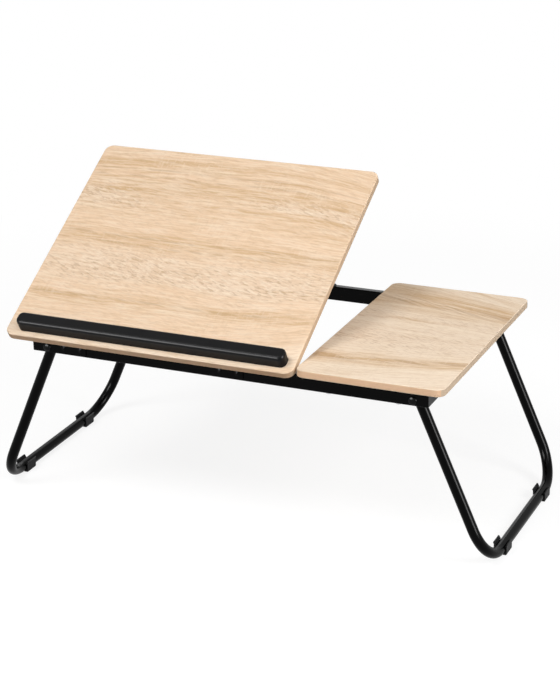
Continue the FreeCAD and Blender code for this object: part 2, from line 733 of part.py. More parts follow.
def leg_foot():
    """A clip beside the right leg's rear bend: a flat sole and two jaws with beads inside and flared lips."""
    y0, y1 = FOOT_OUTER_Y - FOOT_LENGTH, FOOT_OUTER_Y
    bore = TUBE_RADIUS + PRESS_GAP
    half = bore + FOOT_WALL
    top = RUN_Z + FOOT_RISE
    clip = box(RUN_X - half, RUN_X + half, y0, y1, 0, top)
    clip = clip.makeFillet(FOOT_SOLE_EDGE, edges_at(clip, 0))
    clip = clip.cut(box(RUN_X - bore, RUN_X + bore, y0, y1, RUN_Z, top))
    lip = [
        (bore, top),
        (half, top),
        (half + FOOT_FLARE, top + FOOT_LIP),
        (bore + FOOT_FLARE, top + FOOT_LIP),
    ]
    for side in (-1, 1):
        corners = [Vector(RUN_X + side * x, y0, z) for x, z in lip]
        clip = clip.fuse(prism(corners, Y_AXIS * FOOT_LENGTH))
        bead = Vector(RUN_X + side * bore, y0, RUN_Z + FOOT_BEAD_RISE)
        clip = clip.fuse(rod(FOOT_BEAD, bead, Y_AXIS, FOOT_LENGTH))
    return clip.cut(rod(bore, Vector(RUN_X, y0, RUN_Z), Y_AXIS, FOOT_LENGTH)).removeSplitter()


def all_nodes():
    """Every piece of the table by its name."""
    right_leg = leg_tube()
    rear_foot = leg_foot()
    front_foot = mirrored_y(rear_foot)
    right_bar = end_bar()
    nodes = {
        "tilt_board": tilt_board(),
        "side_board": side_board(),
        "stop_bar": stop_bar(),
        "stop_bar_screws": stop_bar_screws(),
        "side_board_screws": side_board_screws(),
        "front_rail": front_rail(),
        "rear_rail": drilled(rail()),
        "left_end_bar": mirrored_x(right_bar),
        "right_end_bar": right_bar,
        "rest_buffers": rest_buffers(),
        "hinge_screws": hinge_screws(),
        "hinge_rivets": hinge_rivets(),
        "support_bail": support_bail(),
        "bail_push_nuts": bail_push_nuts(),
        "rack_screws": rack_screws(),
        "leg_pivot_rivets": at_four_pivots(leg_pivot_rivet()),
        "leg_spacers": leg_spacers(),
        "leg_tail_washers": leg_tail_washers(),
        "left_leg_tube": mirrored_x(right_leg),
        "right_leg_tube": right_leg,
        "left_front_foot": mirrored_x(front_foot),
        "left_rear_foot": mirrored_x(rear_foot),
        "right_front_foot": front_foot,
        "right_rear_foot": rear_foot,
    }
    for name, side, hinge_x, rack_x in zip(("left", "right"), (-1, 1), HINGE_XS, rack_middles()):
        nodes[name + "_cross_strap"] = cross_strap(side)
        nodes[name + "_bail_lug"] = bail_lug(side)
        nodes[name + "_hinge_board_leaf"] = board_leaf(hinge_x)
        nodes[name + "_hinge_rail_leaf"] = rail_leaf(hinge_x)
        nodes[name + "_hinge_pin"] = hinge_pin(hinge_x)
        nodes[name + "_notch_rack"] = notch_rack(rack_x)
    return nodes


os.makedirs("parts", exist_ok=True)
for node, shape in all_nodes().items():
    shape.exportStep("parts/" + node + ".step")
    print(node, len(shape.Solids), "valid" if shape.isValid() else "NOT VALID", round(shape.Volume, 1))
print("leg pivots at x", round(PIVOT_X, 3), "z", round(PIVOT_Z, 3), "leg", round(LEG_LENGTH, 3))
print("hinge axis y", round(HINGE_Y, 3), "z", round(HINGE_Z, 3))
print("bail pivot y", round(BAIL_PIVOT_Y, 3), "z", round(BAIL_PIVOT_Z, 3), "angle", round(BAIL_ANGLE, 3))
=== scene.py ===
"""Looks of a folding reading table: oak-foil boards on a black tube frame.

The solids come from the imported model. This script gives every piece its
finish, makes the fastener heads and weld beads, and sets up a plain studio
with a camera at the photograph's viewing angle. Metres, +X along the table
to the fixed board, +Y to the back, +Z up, the floor at Z = 0.
"""
import logging
import math
from dataclasses import dataclass
from enum import Enum
from typing import Iterable, Optional, Sequence, Union

import bmesh
import bpy
from mathutils import Matrix, Vector


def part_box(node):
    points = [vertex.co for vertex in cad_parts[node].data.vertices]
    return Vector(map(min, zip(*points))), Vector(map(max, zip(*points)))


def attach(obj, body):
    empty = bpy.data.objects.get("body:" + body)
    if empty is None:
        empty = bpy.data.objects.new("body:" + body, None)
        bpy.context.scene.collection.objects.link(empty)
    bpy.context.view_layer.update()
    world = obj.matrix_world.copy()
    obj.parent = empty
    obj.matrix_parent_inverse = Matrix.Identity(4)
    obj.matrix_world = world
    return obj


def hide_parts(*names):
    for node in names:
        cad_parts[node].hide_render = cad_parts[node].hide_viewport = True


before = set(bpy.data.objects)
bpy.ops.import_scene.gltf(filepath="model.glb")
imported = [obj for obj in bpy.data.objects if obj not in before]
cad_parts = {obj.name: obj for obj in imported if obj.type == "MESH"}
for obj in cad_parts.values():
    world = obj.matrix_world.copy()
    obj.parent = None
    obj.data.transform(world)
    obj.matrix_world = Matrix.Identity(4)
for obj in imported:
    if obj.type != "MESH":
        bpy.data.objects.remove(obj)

log = logging.getLogger("reading_table")

MM = 0.001
# The tilting board: its angle, its hinge axis, and the height of its top when it lies flat.
TILT = math.radians(30.0)
HINGE = Vector((0.0, -166.8 * MM, 234.1 * MM))
FLAT_TOP = 245.4 * MM
# Edges with a lesser angle are shaded round.
SMOOTH_BELOW = math.radians(40.0)

Colour = tuple[float, float, float]
Point = tuple[float, float, float]
Span = tuple[float, float]
Seam = tuple[Vector, Vector]
Material = bpy.types.Material
Mesh = bpy.types.Mesh
Piece = bpy.types.Object
Key = Union[int, str]


def grey(level: float) -> Colour:
    """A neutral colour."""
    return (level, level, level)


class Signal:
    """A node's output that can be used in plain sums."""

    def __init__(self, wiring: "Wiring", node: bpy.types.Node, output: Key = 0) -> None:
        """Takes one output of a node, if it has any.

        Args:
            wiring: the tree that the node is in.
            node: the node.
            output: its output.
        """
        self.wiring = wiring
        self.node = node
        self.socket = pick_socket(node.outputs, output) if node.outputs else None

    def other(self, output: Key) -> "Signal":
        """Another output of the same node."""
        return Signal(self.wiring, self.node, output)

    def sum_node(self, operation: str, first: "Value", second: "Value" = 0.0) -> "Signal":
        """Adds one Math node.

        Args:
            operation: the Math node's operation.
            first: its first value.
            second: its second value, if the operation has one.

        Returns:
            The result.
        """
        return self.wiring.node("ShaderNodeMath", {"operation": operation}, {0: first, 1: second})

    def __add__(self, other: "Value") -> "Signal":
        """self + other."""
        return self.sum_node("ADD", self, other)

    def __radd__(self, other: "Value") -> "Signal":
        """other + self."""
        return self.sum_node("ADD", other, self)

    def __sub__(self, other: "Value") -> "Signal":
        """self - other."""
        return self.sum_node("SUBTRACT", self, other)

    def __rsub__(self, other: "Value") -> "Signal":
        """other - self."""
        return self.sum_node("SUBTRACT", other, self)

    def __mul__(self, other: "Value") -> "Signal":
        """self * other."""
        return self.sum_node("MULTIPLY", self, other)

    def __rmul__(self, other: "Value") -> "Signal":
        """other * self."""
        return self.sum_node("MULTIPLY", other, self)

    def __gt__(self, other: "Value") -> "Signal":
        """1 where self is more than other, else 0."""
        return self.sum_node("GREATER_THAN", self, other)

    def __abs__(self) -> "Signal":
        """self without its sign."""
        return self.sum_node("ABSOLUTE", self)

    def at_least(self, other: "Value") -> "Signal":
        """The greater of two values."""
        return self.sum_node("MAXIMUM", self, other)

    def ramp(self, low: float, high: float) -> "Signal":
        """A smooth step.

        Args:
            low: where it is still 0.
            high: where it has become 1.

        Returns:
            The step, from 0 to 1.
        """
        settings = {"interpolation_type": "SMOOTHSTEP"}
        return self.wiring.node("ShaderNodeMapRange", settings, {0: self, 1: low, 2: high})


Value = Union[Signal, float, int, bool, str, tuple, bpy.types.ID]
Paint = Union[Signal, Colour]


def pick_socket(sockets: Iterable[bpy.types.NodeSocket], key: Key) -> bpy.types.NodeSocket:
    """Finds a socket of a node.

    Args:
        sockets: the node's inputs or outputs.
        key: its place, its identifier or its name.

    Returns:
        The socket.
    """
    found = list(sockets)
    if isinstance(key, int):
        return found[key]
    for socket in found:
        if socket.identifier == key:
            return socket
    return next(socket for socket in found if socket.name == key and socket.enabled)


class Wiring:
    """A node tree under construction."""

    def __init__(self, tree: bpy.types.NodeTree) -> None:
        """Takes the tree and empties it."""
        self.tree = tree
        tree.nodes.clear()

    def node(
        self,
        kind: str,
        settings: Optional[dict[str, object]] = None,
        sockets: Optional[dict[Key, Value]] = None,
        output: Key = 0,
    ) -> Signal:
        """Adds a node.

        Args:
            kind: the node's type.
            settings: its own settings, set before its sockets.
            sockets: values or links of its inputs.
            output: the output that is handed back.

        Returns:
            That output.
        """
        made = self.tree.nodes.new(kind)
        for name, setting in (settings or {}).items():
            setattr(made, name, setting)
        for key, value in (sockets or {}).items():
            target = pick_socket(made.inputs, key)
            if isinstance(value, Signal):
                self.tree.links.new(value.socket, target)
            else:
                target.default_value = value
        return Signal(self, made, output)


class Recipe(Wiring):
    """The node tree of one finish."""

    def __init__(self, name: str) -> None:
        """Starts a material.

        Args:
            name: the material's name.
        """
        self.material = bpy.data.materials.new(name)
        self.material.use_nodes = True
        super().__init__(self.material.node_tree)

    def place(self, turn: float = 0.0) -> Signal:
        """The point on the piece.

        Args:
            turn: angle about X that lays a tilted piece flat.

        Returns:
            The point, as a vector.
        """
        point = self.node("ShaderNodeTexCoord", output="Object")
        sockets = {"Vector": point, "Rotation": (turn, 0.0, 0.0)}
        return self.node("ShaderNodeMapping", {"vector_type": "POINT"}, sockets)

    def split(self, vector: Signal) -> tuple[Signal, Signal, Signal]:
        """The three parts of a vector."""
        parts = self.node("ShaderNodeSeparateXYZ", sockets={0: vector})
        return parts, parts.other(1), parts.other(2)

    def join(self, x: Value, y: Value, z: Value) -> Signal:
        """A vector of three parts."""
        return self.node("ShaderNodeCombineXYZ", sockets={0: x, 1: y, 2: z})

    def noise(
        self, point: Signal, scale: float, detail: float = 2.0, rough: float = 0.5, warp: float = 0.0
    ) -> Signal:
        """Soft noise.

        Args:
            point: where it is read.
            scale: its fineness, in lumps a metre.
            detail: how many finer layers it has.
            rough: how strong those are.
            warp: how much it is stirred.

        Returns:
            The noise, from 0 to 1 about 0.5.
        """
        sockets = {
            "Vector": point,
            "Scale": scale,
            "Detail": detail,
            "Roughness": rough,
            "Distortion": warp,
        }
        return self.node("ShaderNodeTexNoise", sockets=sockets)

    def blend(self, share: Value, first: Paint, second: Paint) -> Signal:
        """Mixes two colours.

        Args:
            share: how much of the second there is.
            first: a colour.
            second: another.

        Returns:
            The mixed colour.
        """
        colours = [c if isinstance(c, Signal) else (*c, 1.0) for c in (first, second)]
        sockets = {"Factor_Float": share, "A_Color": colours[0], "B_Color": colours[1]}
        return self.node("ShaderNodeMix", {"data_type": "RGBA"}, sockets, "Result_Color")

    def bump(self, height: Signal, depth: float, strength: float = 1.0) -> Signal:
        """A relief.

        Args:
            height: its height, from 0 to 1.
            depth: how deep it is, in metres.
            strength: how much of it shows.

        Returns:
            The turned surface direction.
        """
        sockets = {"Height": height, "Distance": depth, "Strength": strength}
        return self.node("ShaderNodeBump", sockets=sockets)

    def surface(
        self,
        colour: Signal,
        roughness: Signal,
        relief: Signal,
        specular: float = 0.5,
        metallic: float = 0.0,
    ) -> Material:
        """Ends the recipe.

        Args:
            colour: the surface's own colour.
            roughness: how blurred its reflections are.
            relief: the turned surface direction.
            specular: how strong its reflections are; 0.5 is usual.
            metallic: 1 for bare metal, else 0.

        Returns:
            The material.
        """
        sockets = {
            "Base Color": colour,
            "Roughness": roughness,
            "Normal": relief,
            "Specular IOR Level": specular,
            "Metallic": metallic,
        }
        shader = self.node("ShaderNodeBsdfPrincipled", sockets=sockets)
        self.node("ShaderNodeOutputMaterial", sockets={"Surface": shader})
        return self.material


@dataclass(frozen=True)
class Figure:
    """How the grain of one board runs, in metres on the board laid flat, from its front edge.

    Attributes:
        warm_bands, dark_streaks, grey_zones: middle and half width of each.
        warmth, streak_depth: how strong the warm bands and dark streaks are.
        slant: how far the slanted marks stray from the grain.
        gather_from, gather: where along the board the grain begins to draw together, and how fast.
        middle: the line that it gathers to.
        seed: the board's own place in the noise.
    """

    warm_bands: tuple[Span, ...]
    dark_streaks: tuple[Span, ...]
    grey_zones: tuple[Span, ...]
    warmth: float
    streak_depth: float
    slant: float
    gather_from: float
    gather: float
    middle: float
    seed: float


@dataclass(frozen=True)
class Wave:
    """A bend of the grain: lumps a metre along and across, place in the noise, reach in metres."""

    along: float
    across: float
    layer: float
    reach: float


@dataclass(frozen=True)
class Strand:
    """One layer of noise drawn out along the grain.

    Attributes:
        along, across: lumps a metre along and across the grain.
        layer: its own place in the noise.
        shows: the levels of the noise where it begins to show and is full.
        detail: how many finer layers it has.
        slanted: whether it strays from the grain.
        gaps: as shows, for the spaces between, with the noise turned upside down.
    """

    along: float
    across: float
    layer: float
    shows: Span
    detail: float = 2.0
    slanted: bool = False
    gaps: Span = (0.5, 0.6)


@dataclass(frozen=True)
class OakPrint:
    """The layers of the printed grain, the same on both boards, from broad to fine."""

    warm_drift: Strand = Strand(2.2, 34.0, 3.1, (0.56, 0.74))
    warm_breaks: Strand = Strand(3.5, 60.0, 5.5, (0.30, 0.60), 3.0)
    grey_breaks: Strand = Strand(4.0, 22.0, 7.7, (0.34, 0.58))
    dark_breaks: Strand = Strand(9.0, 110.0, 2.7, (0.40, 0.60), slanted=True)
    patches: Strand = Strand(9.0, 16.0, 4.5, (0.48, 0.64), 1.0)
    streaks: Strand = Strand(5.5, 75.0, 1.3, (0.50, 0.64), 3.0, gaps=(0.52, 0.66))
    lines: Strand = Strand(20.0, 280.0, 5.9, (0.51, 0.61), 3.0, gaps=(0.51, 0.62))
    dashes: Strand = Strand(80.0, 340.0, 9.2, (0.53, 0.63), slanted=True)
    glints: Strand = Strand(76.0, 320.0, 3.7, (0.52, 0.62), slanted=True)
    saw: Strand = Strand(340.0, 70.0, 6.6, (0.56, 0.70), 1.0, gaps=(0.58, 0.72))
    hairs: Strand = Strand(60.0, 760.0, 4.1, (0.52, 0.64))
    pores: Strand = Strand(150.0, 1500.0, 8.4, (0.60, 0.72), 1.0)
    fibres: Strand = Strand(90.0, 2200.0, 2.2, (0.45, 0.75))


@dataclass(frozen=True)
class OakFoil:
    """Printed oak foil on fibreboard, grain along X, with a plainer band round the edge.

    Attributes:
        figure: how this board's grain runs.
        turn: angle about X that lays the board flat.
        front, top: where its front edge and its top then lie.
        ground: the colour that the print's other colours lie on.
        painted_light_strip: middle and half width of a paler strip of painted light along the front
            edge, if there is one, for the light that falls in front of the stop bar.
        thick: the board's thickness.
        seam, seam_blur: how far the foil laps over the edge, and how softly it ends.
        stripe_edge: shares of a stripe's half width where it begins to fade and is gone.
        drift_share: how strong the warm drift is beside the warm bands.
        end_facing: how squarely a surface has to face along X to be an end.
    """

    name: str
    figure: Figure
    turn: float
    front: float
    top: float
    ground: Colour
    painted_light_strip: Optional[Span] = None
    thick: float = 10 * MM
    seam: float = 1.1 * MM
    seam_blur: Span = (-0.3 * MM, 0.1 * MM)
    stripe_edge: Span = (0.15, 1.0)
    drift_share: float = 0.6
    tan: Colour = (0.66, 0.43, 0.225)
    grey: Colour = (0.83, 0.65, 0.49)
    pore: Colour = (0.46, 0.275, 0.142)
    fleck: Colour = (0.96, 0.80, 0.63)
    # The colour of the strip of painted light along the front edge.
    painted_light_tone: Colour = (0.99, 0.79, 0.60)
    front_band: Colour = (0.90, 0.53, 0.30)
    # The end faces' band is darker and greyer than the long edges': partly its own tone, partly painted
    # shade on the ends.
    end_band: Colour = (0.60, 0.445, 0.31)
    band_share: float = 0.66
    end_facing: float = 0.7
    layers: OakPrint = OakPrint()
    waves: tuple[Wave, ...] = (Wave(2.6, 7.0, 0.0, 0.026), Wave(13.0, 40.0, 0.7, 0.007))
    roughness: float = 0.44

    def grain(self, r: Recipe, x: Signal, y: Signal, z: Signal, on_end: Signal) -> tuple[Signal, Signal]:
        """Lays the grain's own coordinates over the board.

        Args:
            r: the recipe.
            x: place along the board.
            y: place across it, laid flat.
            z: height.
            on_end: 1 on the board's end faces, else 0.

        Returns:
            The place along the grain and across it, from the board's front edge.
        """
        figure = self.figure
        along = x + (y - x) * on_end
        across = y + (x - y) * on_end + z - self.top - self.front
        bent = (along - figure.gather_from).at_least(0.0)
        spread = 1.0 + figure.gather * bent * bent
        across = (across - figure.middle) * spread + figure.middle
        for wave in self.waves:
            point = r.join(along * wave.along, across * wave.across, figure.seed + wave.layer)
            across = across + (r.noise(point, 1.0) - 0.5) * wave.reach
        return along + figure.seed, across

    def stripes(self, across: Signal, bands: Sequence[Span]) -> Signal:
        """Soft stripes along the grain.

        Args:
            across: the place across the grain.
            bands: the middle and half width of each stripe.

        Returns:
            1 on the stripes, falling to 0 beside them.
        """
        whole = None
        for place, reach in bands:
            one = 1.0 - (abs(across - place) * (1.0 / reach)).ramp(*self.stripe_edge)
            whole = one if whole is None else whole.at_least(one)
        return whole

    def make(self) -> Material:
        """Makes the material.

        Returns:
            Oak foil: thin coats of colour laid over the ground, and the edge band over them.
        """
        r = Recipe(self.name)
        x, y, z = r.split(r.place(self.turn))
        facing = r.split(r.node("ShaderNodeTexCoord", output="Normal"))[0]
        on_end = abs(facing) > self.end_facing
        on_face = 1.0 - on_end
        along, across = self.grain(r, x, y, z, on_end)
        slanted = across + self.figure.slant * along
        layers = self.layers

        def noise(kind: Strand) -> Signal:
            """Reads one layer's noise.

            Args:
                kind: the layer.

            Returns:
                The noise, from 0 to 1 about 0.5.
            """
            course = slanted if kind.slanted else across
            point = r.join(along * kind.along, course * kind.across, kind.layer)
            return r.noise(point, 1.0, kind.detail, rough=0.6)

        def shown(kind: Strand) -> Signal:
            """1 where a layer shows in full, 0 where it doesn't."""
            return noise(kind).ramp(*kind.shows)

        warm = shown(layers.warm_drift) * self.drift_share
        warm = warm.at_least(self.stripes(across, self.figure.warm_bands)) * shown(layers.warm_breaks)
        dark = shown(layers.dark_breaks) * self.stripes(across, self.figure.dark_streaks)
        greyed = self.stripes(across, self.figure.grey_zones) * shown(layers.grey_breaks) * on_face
        patches = shown(layers.patches)
        streaks = noise(layers.streaks)
        lines = noise(layers.lines)
        saw = noise(layers.saw)
        pores = shown(layers.pores)
        fibres = noise(layers.fibres)

        # How much of each colour lies where, from the first coat to the last.
        coats = [
            (warm * self.figure.warmth, self.tan),
            (greyed * 0.55, self.grey),
            (streaks.ramp(*layers.streaks.shows) * (0.12 + 0.42 * warm), self.tan),
            ((1.0 - streaks).ramp(*layers.streaks.gaps) * 0.38, self.fleck),
            (lines.ramp(*layers.lines.shows) * (0.24 + 0.30 * warm), self.tan),
            ((1.0 - lines).ramp(*layers.lines.gaps) * 0.38, self.fleck),
            (dark * self.figure.streak_depth, self.pore),
            (shown(layers.dashes) * (0.09 + 0.30 * greyed), self.pore),
            (shown(layers.glints) * (0.14 + 0.50 * greyed), self.fleck),
            (saw.ramp(*layers.saw.shows) * patches * 0.22, self.fleck),
            ((1.0 - saw).ramp(*layers.saw.gaps) * patches * 0.08, self.pore),
            (shown(layers.hairs) * 0.18, self.pore),
            (pores * (0.06 + 0.20 * greyed), self.pore),
            (fibres.ramp(*layers.fibres.shows) * 0.09, self.pore),
        ]
        # Painted light: a paler strip along the front edge, where the stop bar would otherwise shade the
        # board.
        if self.painted_light_strip:
            coats.insert(0, (self.stripes(across, (self.painted_light_strip,)) * on_face, self.painted_light_tone))
        colour: Paint = self.ground
        for share, tone in coats:
            colour = r.blend(share, colour, tone)

        half = self.thick / 2
        on_band = (half - self.seam - abs(z - (self.top - half))).ramp(*self.seam_blur)
        # End faces take the darker end band, which is partly painted shade.
        band = r.blend(on_end, self.front_band, self.end_band)
        colour = r.blend(on_band * self.band_share, colour, band)
        relief = lines * 0.4 + fibres * 0.4 - pores * 0.5 - on_band * 0.5
        gloss = self.roughness + 0.10 * (lines - 0.5) + 0.12 * pores - 0.05 * on_band
        return r.surface(colour, gloss, r.bump(relief, 0.05 * MM, 0.6), specular=0.0)


@dataclass(frozen=True)
class PowderCoat:
    """Black powder coat on steel: fine orange peel, faint dust and rubbed places."""

    name: str = "black_powder_coat"
    colour: Colour = (0.0006, 0.0006, 0.0007)
    rubbed: Colour = (0.005, 0.005, 0.0053)
    roughness: float = 0.20
    specular: float = 0.05

    def make(self) -> Material:
        """Makes the material.

        Returns:
            The finish.
        """
        r = Recipe(self.name)
        point = r.place()
        peel = r.noise(point, 1150.0, 2.0, 0.5)
        grit = r.noise(point, 5200.0, 1.0)
        cloud = r.noise(point, 34.0, 3.0, 0.6)
        scuffs = r.noise(point, 260.0, 4.0, 0.7, 1.5).ramp(0.60, 0.76) * cloud.ramp(0.48, 0.66)
        colour = r.blend(scuffs * 0.5 + 0.18 * cloud, self.colour, self.rubbed)
        gloss = self.roughness + 0.12 * (cloud - 0.5) + 0.10 * (peel - 0.5) + 0.16 * scuffs
        return r.surface(colour, gloss, r.bump(peel + 0.25 * grit, 0.045 * MM, 0.5), self.specular)


@dataclass(frozen=True)
class PlatedSteel:
    """Zinc-plated steel: soft mottled sheen with fine tool marks and a little dulling."""

    name: str = "zinc_plate"
    colour: Colour = (0.60, 0.60, 0.61)
    dull: Colour = (0.36, 0.35, 0.34)
    roughness: float = 0.28

    def make(self) -> Material:
        """Makes the material.

        Returns:
            The finish.
        """
        r = Recipe(self.name)
        point = r.place()
        mottle = r.noise(point, 900.0, 3.0, 0.6)
        marks = r.noise(point, 4200.0, 2.0, 0.6, 2.0)
        dulled = r.noise(point, 240.0, 3.0, 0.6).ramp(0.46, 0.72)
        colour = r.blend(dulled * 0.7, self.colour, self.dull)
        gloss = self.roughness + 0.18 * dulled + 0.14 * (mottle - 0.5)
        return r.surface(colour, gloss, r.bump(marks + mottle, 0.02 * MM, 0.5), metallic=1.0)


@dataclass(frozen=True)
class MouldedPlastic:
    """Black moulded plastic with a fine spark-eroded grain."""

    name: str
    colour: Colour = (0.0042, 0.0042, 0.0046)
    worn: Colour = (0.013, 0.013, 0.0135)
    roughness: float = 0.32
    specular: float = 0.10
    grain: float = 2100.0
    depth: float = 0.05 * MM

    def make(self) -> Material:
        """Makes the material.

        Returns:
            The finish.
        """
        r = Recipe(self.name)
        point = r.place()
        grain = r.noise(point, self.grain, 2.0, 0.55)
        cloud = r.noise(point, 42.0, 3.0, 0.6)
        rub = r.noise(point, 380.0, 4.0, 0.7, 1.0).ramp(0.58, 0.78) * cloud.ramp(0.45, 0.68)
        colour = r.blend(0.25 * cloud + 0.5 * rub, self.colour, self.worn)
        gloss = self.roughness + 0.16 * (grain - 0.5) + 0.10 * (cloud - 0.5) - 0.10 * rub
        return r.surface(colour, gloss, r.bump(grain, self.depth, 0.45), self.specular)


@dataclass(frozen=True)
class Nylon:
    """Dark nylon washers, slightly waxy."""

    name: str = "dark_nylon"
    colour: Colour = (0.045, 0.045, 0.044)
    pale: Colour = (0.085, 0.084, 0.080)
    roughness: float = 0.46
    specular: float = 0.4

    def make(self) -> Material:
        """Makes the material.

        Returns:
            The finish.
        """
        r = Recipe(self.name)
        point = r.place()
        cloud = r.noise(point, 420.0, 3.0, 0.6)
        grain = r.noise(point, 3000.0, 2.0)
        colour = r.blend(cloud, self.colour, self.pale)
        gloss = self.roughness + 0.16 * (cloud - 0.5) + 0.08 * (grain - 0.5)
        return r.surface(colour, gloss, r.bump(grain, 0.02 * MM, 0.5), self.specular)


@dataclass(frozen=True)
class Rubber:
    """Matte black rubber with a dusty bloom."""

    name: str = "matte_rubber"
    colour: Colour = (0.016, 0.016, 0.016)
    bloom: Colour = (0.060, 0.058, 0.055)
    roughness: float = 0.74
    specular: float = 0.3

    def make(self) -> Material:
        """Makes the material.

        Returns:
            The finish.
        """
        r = Recipe(self.name)
        point = r.place()
        dust = r.noise(point, 700.0, 4.0, 0.65)
        grain = r.noise(point, 3600.0, 2.0)
        colour = r.blend(dust.ramp(0.45, 0.80) * 0.6, self.colour, self.bloom)
        gloss = self.roughness + 0.16 * (dust - 0.5)
        return r.surface(colour, gloss, r.bump(grain, 0.04 * MM, 0.6), self.specular)


class Head(Enum):
    """The kinds of screw head on the table."""

    PAN = "pan"
    FLUSH = "flush"


@dataclass(frozen=True)
class Fixing:
    """Where one screw or rivet sits: the point under its head, and the way its head faces."""

    place: Vector
    aim: Vector


def box_middle(points: Sequence[Vector]) -> Span:
    """The middle of the points' box along X and Y, to the millimetre."""
    spans = ([p.x for p in points], [p.y for p in points])
    return tuple(round((min(span) + max(span)) / 2, 3) for span in spans)


def solids_of(node: str) -> list[list[Vector]]:
    """Parts a CAD node into its separate solids.

    Args:
        node: the node's name.

    Returns:
        The corner points of each solid, the solids in order along X and then Y.
    """
    mesh = bmesh.new()
    mesh.from_mesh(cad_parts[node].data)
    bmesh.ops.remove_doubles(mesh, verts=mesh.verts, dist=0.002 * MM)
    left = set(mesh.verts)
    solids = []
    while left:
        front = [left.pop()]
        island = []
        while front:
            corner = front.pop()
            island.append(corner.co.copy())
            for edge in corner.link_edges:
                far = edge.other_vert(corner)
                if far in left:
                    left.remove(far)
                    front.append(far)
        solids.append(island)
    mesh.free()
    return sorted(solids, key=box_middle)


def middle_on(points: Sequence[Vector], aim: Vector) -> tuple[Vector, float]:
    """Finds the axis of a turned solid.

    Args:
        points: its corner points.
        aim: the direction of its axis.

    Returns:
        A point of the axis, and the greatest reach along it.
    """
    side = aim.orthogonal().normalized()
    across = aim.cross(side)
    spans = []
    for way in (side, across):
        reach = [p.dot(way) for p in points]
        spans.append((min(reach) + max(reach)) / 2)
    return side * spans[0] + across * spans[1], max(p.dot(aim) for p in points)


def make_piece(name: str, data: bpy.types.ID) -> Piece:
    """Puts a mesh, lamp or camera into the scene.

    Args:
        name: the piece's name.
        data: what it is made of.

    Returns:
        The piece, at the origin.
    """
    piece = bpy.data.objects.new(name, data)
    bpy.context.scene.collection.objects.link(piece)
    return piece


def turned(
    mesh: bmesh.types.BMesh, profile: Sequence[Span], segments: int
) -> list[list[bmesh.types.BMVert]]:
    """Turns a profile about Z, as on a lathe; a point on the axis becomes one corner.

    Args:
        mesh: what it is added to.
        profile: radius and height of each point.
        segments: corners of each ring.

    Returns:
        The rings of corners.
    """
    rings = []
    for radius, height in profile:
        if radius == 0.0:
            rings.append([mesh.verts.new((0.0, 0.0, height))])
            continue
        steps = [2 * math.pi * i / segments for i in range(segments)]
        places = [(radius * math.cos(a), radius * math.sin(a), height) for a in steps]
        rings.append([mesh.verts.new(place) for place in places])
    for near, far in zip(rings, rings[1:]):
        for i in range(segments):
            j = (i + 1) % segments
            corners = [near[i % len(near)], near[j % len(near)], far[j % len(far)], far[i % len(far)]]
            unique = list(dict.fromkeys(corners))
            if len(unique) > 2:
                mesh.faces.new(unique)
    return rings


def finished_mesh(name: str, mesh: bmesh.types.BMesh) -> Mesh:
    """Closes a mesh under construction.

    Args:
        name: the mesh's name.
        mesh: the mesh, which is freed.

    Returns:
        The plain mesh.
    """
    bmesh.ops.recalc_face_normals(mesh, faces=mesh.faces)
    for face in mesh.faces:
        face.smooth = True
    for edge in mesh.edges:
        edge.smooth = len(edge.link_faces) == 2 and edge.calc_face_angle() < SMOOTH_BELOW
    made = bpy.data.meshes.new(name)
    mesh.to_mesh(made)
    mesh.free()
    return made


@dataclass(frozen=True)
class CrossRecess:
    """A stamped cross recess, in shares of the head's radius."""

    reach: float = 0.62
    half_width: float = 0.15
    depth: float = 0.55
    edge: float = 0.10
    taper: float = 0.7

    def depth_at(self, x: float, y: float) -> float:
        """How deep the recess is at a point of the head.

        Args:
            x: place along one arm.
            y: place along the other.

        Returns:
            The depth, 0 outside the recess.
        """
        arm = max(abs(x) - self.reach, abs(y) - self.half_width)
        other = max(abs(y) - self.reach, abs(x) - self.half_width)
        inside = min(1.0, max(0.0, -min(arm, other) / self.edge))
        slope = 1.0 - self.taper * min(1.0, math.hypot(x, y) / self.reach)
        return self.depth * inside * inside * (3 - 2 * inside) * slope


@dataclass(frozen=True)
class ScrewPattern:
    """One screw, sizes in mm, made with a head of radius 1 on Z = 0, its head up and its shank down."""

    head: Head
    radius: float
    rise: float
    shank: float
    length: float
    roundness: float = 0.97
    recess: CrossRecess = CrossRecess()
    segments: int = 72
    rings: int = 22

    def head_height(self, share: float) -> float:
        """The height of the head's crown at a share of its radius."""
        return self.rise / self.radius * math.sqrt(1.0 - self.roundness * share * share)

    def make(self, name: str) -> Piece:
        """Builds the pattern.

        Args:
            name: the pattern's name.

        Returns:
            The pattern, an object of its own.
        """
        mesh = bmesh.new()
        crown = [(i / self.rings, self.head_height(i / self.rings)) for i in range(self.rings + 1)]
        shank = self.shank / self.radius
        end = -self.length / self.radius
        seat = [(1.0, 0.0), (shank, 0.0)] if self.head is Head.PAN else [(shank, shank - 1.0)]
        rings = turned(mesh, crown + seat + [(shank, end), (0.0, end)], self.segments)
        for ring in rings[: self.rings]:
            for corner in ring:
                corner.co.z -= self.recess.depth_at(corner.co.x, corner.co.y)
        return make_piece(name, finished_mesh(name, mesh))


